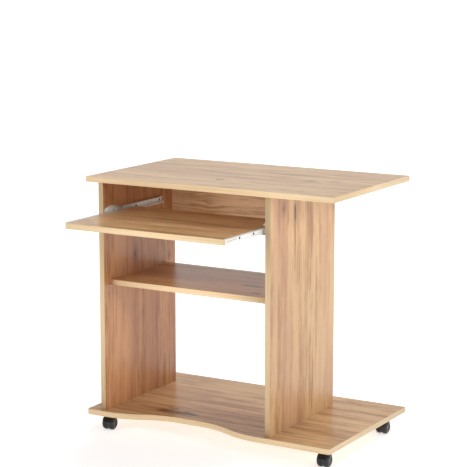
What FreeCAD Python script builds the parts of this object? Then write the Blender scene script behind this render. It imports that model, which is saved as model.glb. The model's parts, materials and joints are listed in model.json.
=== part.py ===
"""Computer desk with a pull-out keyboard tray, on twin-wheel casters.

Axes: X to the right as seen from the front, Y to the back, Z up, millimetres.
The origin is on the floor, in the middle of the rectangle that the desk covers with its tray
pulled out. Every size comes from the sheet named Sizes, through an expression.
"""
import FreeCAD, Part
import Sketcher
import math
import os
import re

DIMENSIONS = {
    # boards
    "desk_width": 800,
    "desk_depth": 480,
    "desk_height": 750,
    "desk_front": -142,
    "board": 16,
    "band": 1,
    "panel_setback": 6,
    "panel_depth": 385,
    "left_inset": 39,
    "bay_width": 195,
    "back_height": 180,
    "shelf_top": 446,
    "shelf_setback": 38,
    "shelf_depth": 312,
    # wavy base
    "base_top": 61,
    "base_overhang": 10,
    "corner_radius": 6,
    "wave_inset": 60,
    "wave_run": 228,
    "wave_valley": 60,
    "wave_depth": 52,
    # keyboard tray and its roller slides
    "tray_top": 647,
    "tray_depth": 350,
    "tray_reach": 196,
    "slide_gap": 12.5,
    "slide_length": 300,
    "slide_setback": 12,
    "tray_rail_setback": 9,
    "sheet_metal": 1.2,
    "rail_top": 656,
    "rail_bottom": 635.5,
    "rail_flange": 9.6,
    "rail_lip": 1.5,
    "flange_setback": 24,
    "hump_length": 60,
    "hump_height": 8,
    "stop_height": 6,
    "slot_start": 99,
    "slot_end": 117,
    "slot_radius": 2.2,
    "tray_slot_start": 6,
    "tray_slot_end": 60,
    "tray_slot_radius": 1.3,
    "foot_width": 12,
    "roof_edge": 2.4,
    "roof_gap": 2.5,
    "ear_height": 6,
    "ear_edge": 0.5,
    "front_roller_setback": 12,
    "rear_roller_setback": 10,
    "roller_radius": 8.5,
    "roller_width": 4.6,
    "roller_start": 3.4,
    "roller_gap": 0.3,
    "roller_dish_radius": 6.4,
    "roller_hub_radius": 3.8,
    "roller_dish": 0.8,
    "rivet_radius": 2,
    "rivet_head_radius": 3.2,
    "rivet_head": 0.6,
    "rivet_gap": 0.1,
    "running_gap": 0.05,
    # fastenings and the places of the joints
    "overshoot": 1,
    "end_gap": 0.5,
    "sink_gap": 0.1,
    "panel_cam_inset": 70,
    "panel_dowel_inset": 35,
    "shelf_cam_inset": 50,
    "shelf_dowel_inset": 90,
    "back_cam_inset": 40,
    "screw_radius": 1.7,
    "screw_hole_radius": 1.8,
    "screw_head_radius": 3.3,
    "screw_head": 1,
    "screw_reach": 12,
    "cam_radius": 7.4,
    "cam_hole_radius": 7.5,
    "cam_depth": 12.5,
    "cam_distance": 34,
    "cam_cross_length": 10.4,
    "cam_cross_width": 2,
    "cam_cross_depth": 1,
    "bolt_radius": 3,
    "bolt_hole_radius": 3.1,
    "bolt_head_radius": 3.6,
    "bolt_head": 3,
    "bolt_bore_radius": 4,
    "bolt_reach": 11,
    "dowel_radius": 3.9,
    "dowel_hole_radius": 4,
    "dowel_length": 30,
    "dowel_reach": 10,
    "long_screw_radius": 3.4,
    "long_screw_hole_radius": 3.5,
    "long_screw_length": 50,
    "long_screw_head_radius": 5,
    "long_screw_head": 3.5,
    "socket_radius": 2.1,
    "socket_depth": 2.4,
    # casters
    "caster_left_inset": 60,
    "caster_right_inset": 30,
    "caster_front_inset": 36,
    "caster_rear_inset": 74,
    "caster_trail": 17,
    "caster_plate": 38,
    "caster_plate_thick": 2,
    "caster_screw_offset": 14,
    "wheel_radius": 20,
    "wheel_width": 13,
    "wheel_inner": 4.9,
    "wheel_dome": 30,
    "wheel_edge": 4.5,
    "wheel_groove": 10,
    "wheel_groove_radius": 1.2,
    "web_half": 4.4,
    "web_radius": 18,
    "fender_radius": 21.9,
    "fender_inner": 20.7,
    "fender_half": 13.4,
    "fender_bottom": 31,
    "hood_top": 42.4,
    "boss_radius": 9,
    "boss_bottom": 25,
    "axle_radius": 2,
    "axle_half": 14.6,
    "kingpin_radius": 2.5,
    "kingpin_bottom": 27,
    "groove_radius": 2,
    "groove_bottom": 29,
    "ring_radius": 3.5,
    "ring_thick": 0.8,
    "ring_room": 0.2,
}

ALIAS = re.compile(r"[a-z_]{4,}")
ALONG = {
    "x": FreeCAD.Rotation(FreeCAD.Vector(0, 1, 0), 90),
    "y": FreeCAD.Rotation(FreeCAD.Vector(1, 0, 0), -90),
    "z": FreeCAD.Rotation(),
}
AXES = "xyz"

doc = FreeCAD.newDocument("computer_desk")
sheet = doc.addObject("Spreadsheet::Sheet", "Sizes")
for row, (alias, size) in enumerate(DIMENSIONS.items(), start=1):
    sheet.set(f"A{row}", alias)
    sheet.set(f"B{row}", str(size))
    sheet.setAlias(f"B{row}", alias)
doc.recompute()

nodes = {}


# ---------------------------------------------------------------- expressions and primitives

def bind(thing, path, text):
    """Bind one property to an expression written with the sheet's aliases."""
    def from_sheet(match):
        return "Sizes." + match.group() if match.group() in DIMENSIONS else match.group()
    thing.setExpression(path, ALIAS.sub(from_sheet, str(text)))


def place(thing, point):
    for axis, text in zip(AXES, point):
        bind(thing, f"Placement.Base.{axis}", text)


def add_box(name, low, high):
    box = doc.addObject("Part::Box", name)
    for size, start, end in zip(("Length", "Width", "Height"), low, high):
        bind(box, size, f"({end}) - ({start})")
    place(box, low)
    return box


def add_rod(name, radius, start, length, axis):
    """A cylinder from start, in the positive direction of axis."""
    rod = doc.addObject("Part::Cylinder", name)
    rod.Placement = FreeCAD.Placement(FreeCAD.Vector(), ALONG[axis])
    bind(rod, "Radius", radius)
    bind(rod, "Height", length)
    place(rod, start)
    return rod


def add_cone(name, first_radius, last_radius, start, length, axis):
    cone = doc.addObject("Part::Cone", name)
    cone.Placement = FreeCAD.Placement(FreeCAD.Vector(), ALONG[axis])
    bind(cone, "Radius1", first_radius)
    bind(cone, "Radius2", last_radius)
    bind(cone, "Height", length)
    place(cone, start)
    return cone


def fuse(name, pieces):
    joined = doc.addObject("Part::MultiFuse", name)
    joined.Shapes = pieces
    return joined


def group(name, pieces):
    """Separate solids that share one node, or the tools of one cut."""
    together = doc.addObject("Part::Compound", name)
    together.Links = pieces
    return together


def cut(name, blank, tools):
    result = doc.addObject("Part::Cut", name)
    result.Base = blank
    result.Tool = tools[0] if len(tools) == 1 else group(name + "_tools", tools)
    return result


def common(name, first, second):
    shared = doc.addObject("Part::Common", name)
    shared.Base = first
    shared.Tool = second
    return shared


def keep(node, thing):
    thing.Label = node
    nodes[node] = thing


def moved(point, axis, distance):
    """The point, moved along one axis by an expression."""
    return tuple(f"{text} + ({distance})" if name == axis else text for name, text in zip(AXES, point))


def rod_towards(name, radius, start, length, axis, sign, offset="0"):
    """A cylinder that starts offset away from start and grows in the direction sign * axis."""
    shift = f"({offset})" if sign > 0 else f"-({offset}) - ({length})"
    return add_rod(name, radius, moved(start, axis, shift), length, axis)


# ---------------------------------------------------------------- places that many pieces share

left_end = "-desk_width/2"
right_end = "desk_width/2"
desk_back = "desk_front + desk_depth"
desk_under = "desk_height - board"
panel_front = "desk_front + panel_setback"
panel_back = "desk_front + panel_setback + panel_depth"
left_face = "-desk_width/2 + left_inset + board"
middle_face = "desk_width/2 - bay_width - board"
bay_face = "desk_width/2 - bay_width"
shelf_front = "desk_front + shelf_setback"
shelf_back = "desk_front + shelf_setback + shelf_depth"
base_front = "desk_front - base_overhang"
base_under = "base_top - board"
tray_front = "desk_front - tray_reach"
tray_under = "tray_top - board"
tray_left = f"{left_face} + slide_gap"
tray_right = f"{middle_face} - slide_gap"
half_board = "board/2"


# ---------------------------------------------------------------- joinery

holes = {}
cam_discs = []
cam_bolts = []
dowels = []
long_screws = []


def drill(board_name, tool):
    holes.setdefault(board_name, []).append(tool)


def cam_joint(edge_board, face_board, point, axis, sign, cam_axis, cam_sign):
    """A cam and bolt that pull edge_board's edge against face_board's face.

    point is where the bolt crosses the joint, axis and sign point from the joint into edge_board,
    and cam_axis and cam_sign point from the middle of edge_board to the face with the cam hole.
    """
    count = len(cam_bolts)
    shank = rod_towards(f"bolt_{count}_shank", "bolt_radius", point,
                        "cam_distance + bolt_reach", axis, sign, "-bolt_reach")
    head = rod_towards(f"bolt_{count}_head", "bolt_head_radius", point,
                       "bolt_head", axis, sign, "cam_distance - bolt_head/2")
    cam_bolts.append(fuse(f"bolt_{count}", [shank, head]))
    drill(face_board, rod_towards(f"bolt_{count}_hole", "bolt_hole_radius", point,
                                  "bolt_reach", axis, -sign))
    drill(edge_board, rod_towards(f"bolt_{count}_bore", "bolt_bore_radius", point,
                                  "cam_distance", axis, sign))
    centre = moved(point, axis, "cam_distance" if sign > 0 else "-cam_distance")
    drill(edge_board, rod_towards(f"cam_{count}_hole", "cam_hole_radius", centre,
                                  "cam_depth", cam_axis, cam_sign, f"{half_board} - cam_depth"))
    disc = rod_towards(f"cam_{count}_disc", "cam_radius", centre,
                       "cam_depth", cam_axis, cam_sign, f"{half_board} - cam_depth")
    mouth = rod_towards(f"cam_{count}_mouth", "bolt_bore_radius", centre,
                        "cam_radius + bolt_head", axis, -sign, "-bolt_head")
    cross = add_box(f"cam_{count}_cross", *cross_slot(centre, cam_axis, cam_sign))
    cam_discs.append(cut(f"cam_{count}", disc, [mouth, cross]))


def cross_slot(centre, cam_axis, cam_sign):
    """The screwdriver slot in the visible face of a cam."""
    long_axis = "z" if cam_axis == "x" else "x"
    low, high = [], []
    for axis, text in zip(AXES, centre):
        if axis == cam_axis and cam_sign > 0:
            low.append(f"{text} + {half_board} - cam_cross_depth")
            high.append(f"{text} + {half_board} + overshoot")
        elif axis == cam_axis:
            low.append(f"{text} - {half_board} - overshoot")
            high.append(f"{text} - {half_board} + cam_cross_depth")
        else:
            size = "cam_cross_length" if axis == long_axis else "cam_cross_width"
            low.append(f"{text} - {size}/2")
            high.append(f"{text} + {size}/2")
    return low, high


def dowel_joint(edge_board, face_board, point, axis, sign):
    count = len(dowels)
    dowels.append(rod_towards(f"dowel_{count}", "dowel_radius", point,
                              "dowel_length - 2*end_gap", axis, sign, "end_gap - dowel_reach"))
    drill(face_board, rod_towards(f"dowel_{count}_face", "dowel_hole_radius", point,
                                  "dowel_reach", axis, -sign))
    drill(edge_board, rod_towards(f"dowel_{count}_edge", "dowel_hole_radius", point,
                                  "dowel_length - dowel_reach", axis, sign))


def long_screw(through_board, into_board, point):
    """A long countersunk screw that stands on the underside of through_board at point."""
    count = len(long_screws)
    shank = add_rod(f"long_screw_{count}_shank", "long_screw_radius", point, "long_screw_length", "z")
    head = add_cone(f"long_screw_{count}_head", "long_screw_head_radius", "long_screw_radius",
                    point, "long_screw_head", "z")
    socket = add_rod(f"long_screw_{count}_socket", "socket_radius", point, "socket_depth", "z")
    long_screws.append(cut(f"long_screw_{count}", fuse(f"long_screw_{count}_blank", [shank, head]),
                           [socket]))
    drill(through_board, add_rod(f"long_screw_{count}_clear", "long_screw_hole_radius", point,
                                 "board", "z"))
    drill(through_board, add_cone(f"long_screw_{count}_sink", "long_screw_head_radius + sink_gap",
                                  "long_screw_radius + sink_gap", point, "long_screw_head", "z"))
    drill(into_board, add_rod(f"long_screw_{count}_thread", "long_screw_hole_radius",
                              moved(point, "z", "board"), "long_screw_length - board + end_gap", "z"))


def join_boards():
    panels = {"left_panel": f"{left_face} - {half_board}",
              "middle_panel": f"{middle_face} + {half_board}"}
    for panel, middle in panels.items():
        for y in (f"{panel_front} + panel_cam_inset", f"{panel_back} - panel_cam_inset"):
            cam_joint(panel, "desktop", (middle, y, desk_under), "z", -1, "x", -1)
            long_screw("base_board", panel, (middle, y, base_under))
        for y in (f"{panel_front} + panel_dowel_inset", f"{panel_back} - panel_dowel_inset"):
            dowel_joint(panel, "desktop", (middle, y, desk_under), "z", -1)
            dowel_joint(panel, "base_board", (middle, y, "base_top"), "z", 1)
    ends = {"left_panel": (left_face, 1), "middle_panel": (middle_face, -1)}
    for panel, (face, inward) in ends.items():
        shelf_middle = f"shelf_top - {half_board}"
        for y in (f"{shelf_front} + shelf_cam_inset", f"{shelf_back} - shelf_cam_inset"):
            cam_joint("shelf", panel, (face, y, shelf_middle), "x", inward, "z", -1)
        for y in (f"{shelf_front} + shelf_dowel_inset", f"{shelf_back} - shelf_dowel_inset"):
            dowel_joint("shelf", panel, (face, y, shelf_middle), "x", inward)
        back_middle = f"{panel_back} - {half_board}"
        for z in (f"{desk_under} - back_cam_inset", f"{desk_under} - back_height + back_cam_inset"):
            cam_joint("back_panel", panel, (face, back_middle, z), "x", inward, "y", 1)
        dowel_joint("back_panel", panel, (face, back_middle, f"{desk_under} - back_height/2"),
                    "x", inward)


# ---------------------------------------------------------------- boards and their edging

SIDES = {"left": (0, 0), "right": (0, 1), "front": (1, 0), "back": (1, 1), "bottom": (2, 0)}


def add_board(name, low, high, banded):
    """A board's core, with a strip of edging as thick as band on each named side.

    The strips on the left and right run between those on the front and back.
    """
    core_low, core_high = list(low), list(high)
    strips = []
    for side in banded:
        axis, end = SIDES[side]
        strip_low, strip_high = list(low), list(high)
        if end:
            core_high[axis] = f"{high[axis]} - band"
            strip_low[axis] = core_high[axis]
        else:
            core_low[axis] = f"{low[axis]} + band"
            strip_high[axis] = core_low[axis]
        if axis == 0:
            strip_low[1] = f"{low[1]} + band"
            strip_high[1] = f"{high[1]} - band"
        strips.append(add_box(f"{name}_{side}_strip", strip_low, strip_high))
    core = add_box(f"{name}_core", core_low, core_high)
    keep(name, cut(f"{name}_drilled", core, holes[name]))
    edging = group(f"{name}_strips", strips) if len(strips) > 1 else strips[0]
    if f"{name}_edging" in holes:
        edging = cut(f"{name}_strips_drilled", edging, holes[f"{name}_edging"])
    keep(f"{name}_edging", edging)


def pin(sketch, geometry, end, axis, text, number):
    """Fix one coordinate of a point, measured from the sketch's origin in a positive direction."""
    kind = "DistanceX" if axis == "x" else "DistanceY"
    if number >= 0:
        constraint = Sketcher.Constraint(kind, -1, 1, geometry, end, number)
        signed = text
    else:
        constraint = Sketcher.Constraint(kind, geometry, end, -1, 1, -number)
        signed = f"-({text})"
    index = sketch.addConstraint(constraint)
    bind(sketch, f"Constraints[{index}]", signed)


def base_outline(body, name, inset):
    """The base board's outline in plan: square at the back, round front corners and a wavy front.

    Each slope of the wave is two equal arcs, tangent to each other and to the straight stretches.
    """
    size = DIMENSIONS
    gap = size["band"] if inset == "band" else 0
    left = -size["desk_width"] / 2 + gap
    right = size["desk_width"] / 2 - gap
    front = size["desk_front"] - size["base_overhang"] + gap
    back = size["desk_front"] + size["desk_depth"] - gap
    corner = size["corner_radius"] - gap
    run, depth = size["wave_run"], size["wave_depth"]
    radius = (run ** 2 + depth ** 2) / (4 * depth)
    outer_front = front - gap
    start = -size["desk_width"] / 2 + size["wave_inset"]
    valley_start = start + run
    valley_end = valley_start + size["wave_valley"]
    end = valley_end + run
    valley = outer_front + depth + gap
    tilt = math.atan2(2 * radius - depth, run)
    up = math.pi / 2

    def point(x, y):
        return FreeCAD.Vector(x, y, 0)

    def arc(centre_x, centre_y, arc_radius, first, last):
        circle = Part.Circle(point(centre_x, centre_y), FreeCAD.Vector(0, 0, 1), arc_radius)
        return Part.ArcOfCircle(circle, first, last)

    hill_centre = outer_front + radius
    dip_centre = outer_front + depth - radius
    sketch = body.newObject("Sketcher::SketchObject", name)
    sketch.addGeometry([
        Part.LineSegment(point(left, back), point(left, front + corner)),
        arc(left + corner, front + corner, corner, math.pi, 3 * up),
        Part.LineSegment(point(left + corner, front), point(start, front)),
        arc(start, hill_centre, radius - gap, -up, -tilt),
        arc(valley_start, dip_centre, radius + gap, up, math.pi - tilt),
        Part.LineSegment(point(valley_start, valley), point(valley_end, valley)),
        arc(valley_end, dip_centre, radius + gap, tilt, up),
        arc(end, hill_centre, radius - gap, tilt - math.pi, -up),
        Part.LineSegment(point(end, front), point(right - corner, front)),
        arc(right - corner, front + corner, corner, -up, 0),
        Part.LineSegment(point(right, front + corner), point(right, back)),
        Part.LineSegment(point(right, back), point(left, back)),
    ])
    (left_side, left_corner, left_front, left_hill, left_dip, floor_line,
     right_dip, right_hill, right_front, right_corner, right_side, back_side) = range(12)
    first, last = 1, 2
    tangents = [(left_side, last, left_corner, first), (left_corner, last, left_front, first),
                (left_front, last, left_hill, first), (left_hill, last, left_dip, last),
                (left_dip, first, floor_line, first), (floor_line, last, right_dip, last),
                (right_dip, first, right_hill, first), (right_hill, last, right_front, first),
                (right_front, last, right_corner, first), (right_corner, last, right_side, first)]
    for one, one_end, other, other_end in tangents:
        sketch.addConstraint(Sketcher.Constraint("Tangent", one, one_end, other, other_end))
    sketch.addConstraint(Sketcher.Constraint("Coincident", right_side, last, back_side, first))
    sketch.addConstraint(Sketcher.Constraint("Coincident", back_side, last, left_side, first))
    for line in (left_side, right_side):
        sketch.addConstraint(Sketcher.Constraint("Vertical", line))
    for line in (left_front, floor_line, right_front, back_side):
        sketch.addConstraint(Sketcher.Constraint("Horizontal", line))
    wave_radius = "(wave_run^2 + wave_depth^2)/(4*wave_depth)"
    radii = [(left_corner, corner, f"corner_radius - {inset}"),
             (right_corner, corner, f"corner_radius - {inset}"),
             (left_hill, radius - gap, f"{wave_radius} - {inset}"),
             (left_dip, radius + gap, f"{wave_radius} + {inset}"),
             (right_dip, radius + gap, f"{wave_radius} + {inset}"),
             (right_hill, radius - gap, f"{wave_radius} - {inset}")]
    for curve, number, text in radii:
        index = sketch.addConstraint(Sketcher.Constraint("Radius", curve, number))
        bind(sketch, f"Constraints[{index}]", text)
    wave_end = f"{left_end} + wave_inset + 2*wave_run + wave_valley"
    pin(sketch, left_side, first, "x", f"{left_end} + {inset}", left)
    pin(sketch, left_side, first, "y", f"{desk_back} - {inset}", back)
    pin(sketch, right_side, last, "x", f"{right_end} - {inset}", right)
    pin(sketch, left_front, last, "x", f"{left_end} + wave_inset", start)
    pin(sketch, left_front, last, "y", f"{base_front} + {inset}", front)
    pin(sketch, floor_line, first, "y", f"{base_front} + wave_depth + {inset}", valley)
    pin(sketch, right_front, first, "x", wave_end, end)
    pin(sketch, right_front, first, "y", f"{base_front} + {inset}", front)
    return sketch


def padded_base(name, inset):
    body = doc.addObject("PartDesign::Body", name)
    sketch = base_outline(body, name + "_outline", inset)
    plane = [feature for feature in body.Origin.OriginFeatures if feature.Role == "XY_Plane"][0]
    sketch.AttachmentSupport = [(plane, "")]
    sketch.MapMode = "FlatFace"
    bind(sketch, "AttachmentOffset.Base.z", base_under)
    pad = body.newObject("PartDesign::Pad", name + "_pad")
    pad.Profile = sketch
    bind(pad, "Length", "board")
    sketch.Visibility = False
    return body


def build_boards():
    add_board("desktop", (left_end, "desk_front", desk_under), (right_end, desk_back, "desk_height"),
              ("front", "back", "left", "right"))
    add_board("left_panel", (f"{left_face} - board", panel_front, "base_top"),
              (left_face, panel_back, desk_under), ("front", "back"))
    add_board("middle_panel", (middle_face, panel_front, "base_top"),
              (bay_face, panel_back, desk_under), ("front", "back"))
    add_board("back_panel", (left_face, f"{panel_back} - board", f"{desk_under} - back_height"),
              (middle_face, panel_back, desk_under), ("bottom",))
    add_board("shelf", (left_face, shelf_front, "shelf_top - board"),
              (middle_face, shelf_back, "shelf_top"), ("front", "back"))
    add_board("keyboard_tray", (tray_left, tray_front, tray_under),
              (tray_right, f"{tray_front} + tray_depth", "tray_top"),
              ("front", "back", "left", "right"))
    whole_base = padded_base("base_whole", "0")
    base_core = padded_base("base_core", "band")
    keep("base_board", cut("base_drilled", base_core, holes["base_board"]))
    keep("base_board_edging", cut("base_strip", whole_base, [base_core]))


# ---------------------------------------------------------------- roller slides

rail_front = f"{panel_front} + slide_setback - panel_setback"
tray_rail_front = f"{tray_front} + tray_rail_setback"
tray_rail_back = f"{tray_front} + tray_rail_setback + slide_length"
roof_under = "tray_top - sheet_metal"
front_roller_y = f"{rail_front} + front_roller_setback"
front_roller_z = f"{roof_under} - roller_gap - roller_radius"
rear_roller_y = f"{tray_rail_back} - rear_roller_setback"
rear_roller_z = "(rail_top + rail_bottom)/2"
CABINET_SCREWS = (45, 162, 289)
SPARE_HOLES = (226, 246)
TRAY_SCREWS = (74, 149, 270)


class Side:
    """One side of the slides: distances are measured from the panel's face towards the tray."""

    def __init__(self, name, face, sign):
        self.name = name
        self.face = face
        self.sign = sign

    def x(self, distance):
        return f"{self.face} {'+' if self.sign > 0 else '-'} ({distance})"

    def box(self, name, near, far, y, z):
        first, last = (near, far) if self.sign > 0 else (far, near)
        return add_box(f"{self.name}_{name}", (self.x(first), y[0], z[0]), (self.x(last), y[1], z[1]))

    def rod(self, name, radius, near, far, y, z):
        return rod_towards(f"{self.name}_{name}", radius, (self.face, y, z),
                           f"({far}) - ({near})", "x", self.sign, near)


def rail_slot(side, name, radius, near, far, start, end, z):
    """The tool for a slot with round ends, between the distances start and end along the rail."""
    ends = [side.rod(f"{name}_{end_name}", radius, near, far, y, z)
            for end_name, y in (("start", f"{start} + {radius}"), ("end", f"{end} - {radius}"))]
    middle = side.box(f"{name}_middle", near, far, (f"{start} + {radius}", f"{end} - {radius}"),
                      (f"{z} - {radius}", f"{z} + {radius}"))
    return fuse(f"{side.name}_{name}", ends + [middle])


def cabinet_rail(side):
    """A C-shaped rail on the panel, humped at the front, with an ear for its roller and a rear stop."""
    back = f"{rail_front} + slide_length"
    hump_back = f"{rail_front} + hump_length"
    flange_front = f"{rail_front} + flange_setback"
    channel = "rail_bottom + sheet_metal"
    metal = "sheet_metal"
    web = side.box("web", "0", metal, (rail_front, back), ("rail_bottom", "rail_top"))
    top = side.box("top_flange", "0", "rail_flange", (hump_back, back),
                   ("rail_top - sheet_metal", "rail_top"))
    bottom = side.box("bottom_flange", "0", "rail_flange", (flange_front, back),
                      ("rail_bottom", channel))
    lip = side.box("lip", "rail_flange - sheet_metal", "rail_flange", (flange_front, back),
                   ("rail_bottom", f"{channel} + rail_lip"))
    stop = side.box("stop", "0", "rail_flange", (f"{back} - sheet_metal", back),
                    ("rail_bottom", "rail_bottom + stop_height"))
    ear_radius = "roller_radius + ear_edge"
    ear = side.rod("ear", ear_radius, "0", metal, front_roller_y, front_roller_z)
    ear_neck = side.box("ear_neck", "0", metal,
                        (f"{front_roller_y} - {ear_radius}", f"{front_roller_y} + {ear_radius}"),
                        (front_roller_z, f"{channel} + end_gap"))
    hump_radius = "(hump_length^2/4 + hump_height^2)/(2*hump_height)"
    hump_middle = f"{rail_front} + hump_length/2"
    hump_centre = f"rail_top + hump_height - {hump_radius}"
    hump_disc = side.rod("hump_disc", hump_radius, "0", "rail_flange", hump_middle, hump_centre)
    hump_room = side.rod("hump_room", f"{hump_radius} - {metal}", metal, "rail_flange + overshoot",
                         hump_middle, hump_centre)
    hump_zone = side.box("hump_zone", "0", "rail_flange", (rail_front, hump_back),
                         ("rail_top - sheet_metal", "rail_top + hump_height"))
    hump = common(f"{side.name}_hump", cut(f"{side.name}_hump_shell", hump_disc, [hump_room]), hump_zone)
    blank = fuse(f"{side.name}_cabinet_blank", [web, top, bottom, lip, stop, ear, ear_neck, hump])
    near, far = "-overshoot", "sheet_metal + overshoot"
    tools = [side.rod(f"rail_hole_{y}", "screw_hole_radius", near, far, f"{rail_front} + {y}", rear_roller_z)
             for y in CABINET_SCREWS + SPARE_HOLES]
    tools.append(side.rod("rail_rivet_hole", "rivet_radius", near, far, front_roller_y, front_roller_z))
    tools.append(rail_slot(side, "rail_slot", "slot_radius", near, far, f"{rail_front} + slot_start",
                           f"{rail_front} + slot_end", rear_roller_z))
    keep(f"{side.name}_cabinet_rail", cut(f"{side.name}_cabinet_cut", blank, tools))


def tray_rail(side):
    """An angle under the tray's edge, with an outward roof that runs on the front roller."""
    outer, inner = "slide_gap - sheet_metal", "slide_gap"
    web = side.box("tray_web", outer, inner, (tray_rail_front, tray_rail_back),
                   (f"{tray_under} - sheet_metal", "tray_top"))
    foot = side.box("tray_foot", outer, "slide_gap + foot_width", (tray_rail_front, tray_rail_back),
                    (f"{tray_under} - sheet_metal", tray_under))
    roof = side.box("tray_roof", "roof_edge", inner,
                    (tray_rail_front, f"{rear_roller_y} - roller_radius - roof_gap"),
                    (roof_under, "tray_top"))
    ear = side.box("tray_ear", outer, inner, (f"{rear_roller_y} - rear_roller_setback", tray_rail_back),
                   (tray_under, f"{rear_roller_z} + ear_height"))
    blank = fuse(f"{side.name}_tray_blank", [web, foot, roof, ear])
    near, far = f"{outer} - overshoot", f"{inner} + overshoot"
    middle = f"{tray_under} + {half_board}"
    tools = [side.rod(f"tray_hole_{y}", "screw_hole_radius", near, far, f"{tray_rail_front} + {y}", middle)
             for y in TRAY_SCREWS]
    tools.append(side.rod("ear_rivet_hole", "rivet_radius", near, far, rear_roller_y, rear_roller_z))
    tools.append(rail_slot(side, "tray_slot", "tray_slot_radius", near, far,
                           f"{tray_rail_front} + tray_slot_start", f"{tray_rail_front} + tray_slot_end",
                           middle))
    keep(f"{side.name}_tray_rail", cut(f"{side.name}_tray_cut", blank, tools))


def roller(side, node, y, z):
    """A nylon roller with a bore for its rivet and a shallow dish round its hub."""
    far = "roller_start + roller_width"
    disc = side.rod(f"{node}_disc", "roller_radius", "roller_start", far, y, z)
    bore = side.rod(f"{node}_bore", "rivet_radius + running_gap", "roller_start - overshoot",
                    f"{far} + overshoot", y, z)
    ring = side.rod(f"{node}_ring", "roller_dish_radius", f"{far} - roller_dish", f"{far} + overshoot", y, z)
    hub = side.rod(f"{node}_hub", "roller_hub_radius", f"{far} - roller_dish - overshoot",
                   f"{far} + overshoot", y, z)
    dish = cut(f"{side.name}_{node}_dish", ring, [hub])
    keep(f"{side.name}_{node}", cut(f"{side.name}_{node}_cut", disc, [bore, dish]))


def rivets(side):
    far = "roller_start + roller_width + rivet_gap"
    front = [side.rod("front_rivet_shank", "rivet_radius", "0", far, front_roller_y, front_roller_z),
             side.rod("front_rivet_head", "rivet_head_radius", far, f"{far} + rivet_head",
                      front_roller_y, front_roller_z)]
    near = "roller_start - rivet_gap"
    rear = [side.rod("rear_rivet_shank", "rivet_radius", near, "slide_gap", rear_roller_y, rear_roller_z),
            side.rod("rear_rivet_head", "rivet_head_radius", f"{near} - rivet_head", near,
                     rear_roller_y, rear_roller_z)]
    return fuse(f"{side.name}_front_rivet", front), fuse(f"{side.name}_rear_rivet", rear)


def rail_screws(side):
    """Pan-head screws: one set goes into the panel, the other into the tray's edge."""
    panel_board = "left_panel" if side.sign > 0 else "middle_panel"
    into_panel, into_tray = [], []
    for y in CABINET_SCREWS:
        place_y = f"{rail_front} + {y}"
        shank = side.rod(f"panel_screw_{y}", "screw_radius", "-screw_reach", "sheet_metal",
                         place_y, rear_roller_z)
        head = side.rod(f"panel_screw_head_{y}", "screw_head_radius", "sheet_metal",
                        "sheet_metal + screw_head", place_y, rear_roller_z)
        into_panel.append(fuse(f"{side.name}_panel_screw_whole_{y}", [shank, head]))
        drill(panel_board, side.rod(f"panel_pilot_{y}", "screw_hole_radius", "-screw_reach - end_gap",
                                    "overshoot", place_y, rear_roller_z))
    for y in TRAY_SCREWS:
        place_y = f"{tray_rail_front} + {y}"
        place_z = f"{tray_under} + {half_board}"
        outer = "slide_gap - sheet_metal"
        shank = side.rod(f"tray_screw_{y}", "screw_radius", outer, "slide_gap + screw_reach",
                         place_y, place_z)
        head = side.rod(f"tray_screw_head_{y}", "screw_head_radius", f"{outer} - screw_head", outer,
                        place_y, place_z)
        into_tray.append(fuse(f"{side.name}_tray_screw_whole_{y}", [shank, head]))
        pilot = side.rod(f"tray_pilot_{y}", "screw_hole_radius", "slide_gap - overshoot",
                         "slide_gap + screw_reach + end_gap", place_y, place_z)
        drill("keyboard_tray", pilot)
        drill("keyboard_tray_edging", pilot)
    return into_panel, into_tray


def build_slides():
    sides = [Side("left", left_face, 1), Side("right", middle_face, -1)]
    front_rivets, rear_rivets, panel_screws, tray_screws = [], [], [], []
    for side in sides:
        cabinet_rail(side)
        tray_rail(side)
        roller(side, "front_roller", front_roller_y, front_roller_z)
        roller(side, "rear_roller", rear_roller_y, rear_roller_z)
        front, rear = rivets(side)
        front_rivets.append(front)
        rear_rivets.append(rear)
        into_panel, into_tray = rail_screws(side)
        panel_screws += into_panel
        tray_screws += into_tray
    keep("front_roller_rivets", group("front_rivet_group", front_rivets))
    keep("rear_roller_rivets", group("rear_rivet_group", rear_rivets))
    keep("cabinet_rail_screws", group("panel_screw_group", panel_screws))
    keep("tray_rail_screws", group("tray_screw_group", tray_screws))


# ---------------------------------------------------------------- casters

kingpins = []
retaining_rings = []
caster_screws = []
CORNERS = [(-1, -1), (1, -1), (1, 1), (-1, 1)]


def caster_plate(name, x, y):
    """A square steel plate, countersunk at its corners, with the kingpin riveted in its middle."""
    half = "caster_plate/2"
    low = f"{base_under} - caster_plate_thick"
    blank = add_box(f"{name}_plate_blank", (f"{x} - {half}", f"{y} - {half}", low),
                    (f"{x} + {half}", f"{y} + {half}", base_under))
    tools = [add_rod(f"{name}_plate_bore", "kingpin_radius", (x, y, f"{low} - overshoot"),
                     "caster_plate_thick + 2*overshoot", "z")]
    for index, (along, across) in enumerate(CORNERS):
        point = (f"{x} + ({along})*caster_screw_offset", f"{y} + ({across})*caster_screw_offset", low)
        tools.append(add_cone(f"{name}_sink_{index}", "screw_head_radius + sink_gap", "screw_hole_radius",
                              point, "caster_plate_thick", "z"))
        cone = add_cone(f"{name}_screw_cone_{index}", "screw_head_radius", "screw_radius",
                        point, "caster_plate_thick", "z")
        shank = add_rod(f"{name}_screw_shank_{index}", "screw_radius", point,
                        "caster_plate_thick + screw_reach", "z")
        caster_screws.append(fuse(f"{name}_screw_{index}", [cone, shank]))
        drill("base_board", add_rod(f"{name}_pilot_{index}", "screw_hole_radius",
                                    moved(point, "z", "caster_plate_thick"), "screw_reach + end_gap", "z"))
    keep(f"{name}_plate", cut(f"{name}_plate_cut", blank, tools))


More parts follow.
